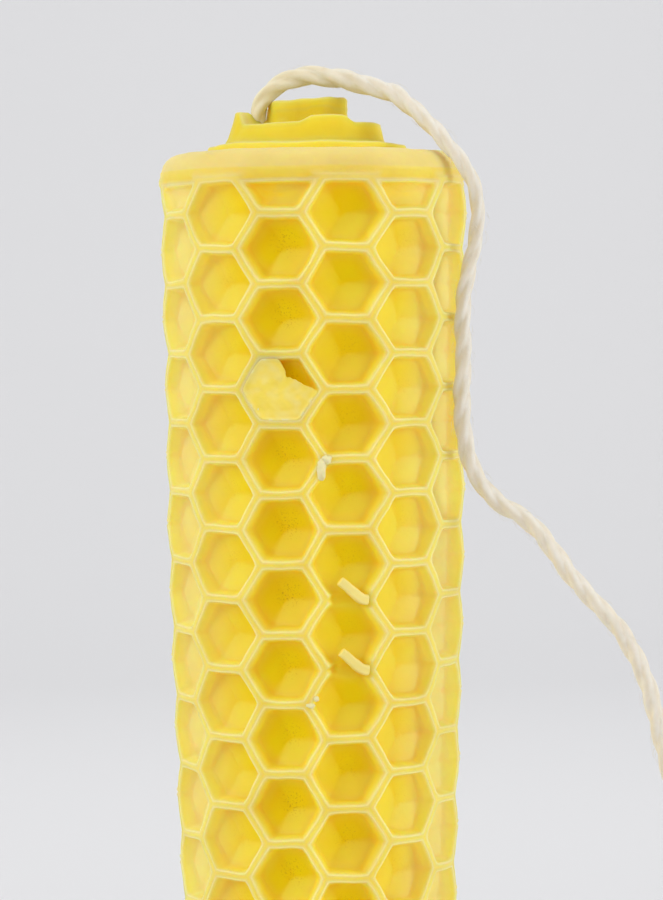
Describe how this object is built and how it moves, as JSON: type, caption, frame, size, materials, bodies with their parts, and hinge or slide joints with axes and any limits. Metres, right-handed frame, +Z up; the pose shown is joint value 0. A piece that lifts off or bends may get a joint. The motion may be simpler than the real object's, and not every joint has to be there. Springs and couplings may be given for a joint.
{
  "type": "honeycomb beeswax candle",
  "caption": "Cast beeswax pillar candle with a hexagonal honeycomb relief, a stepped rolled-look top and a long twisted cotton wick that hangs over its side.",
  "frame": {"origin": "centre of the flat base", "axes": "+Z up along the candle's axis to the wick, -Y towards the viewer, +X to the side over which the wick hangs"},
  "size_m": [0.0416, 0.0244, 0.1355],
  "materials": {
    "beeswax": "translucent yellow beeswax, satin, with a paler bloom on the tips of the cell walls",
    "thin_beeswax": "thin pale beeswax flash, translucent",
    "wick_cotton": "loosely twisted cream cotton, lightly primed with wax"
  },
  "bodies": {
    "root": {"wax_body": "beeswax", "wick_core": "wick_cotton", "wick_tail": "wick_cotton", "cell_film": "thin_beeswax", "torn_wall_upper": "thin_beeswax", "torn_wall_lower": "thin_beeswax"}
  },
  "joints": []
}
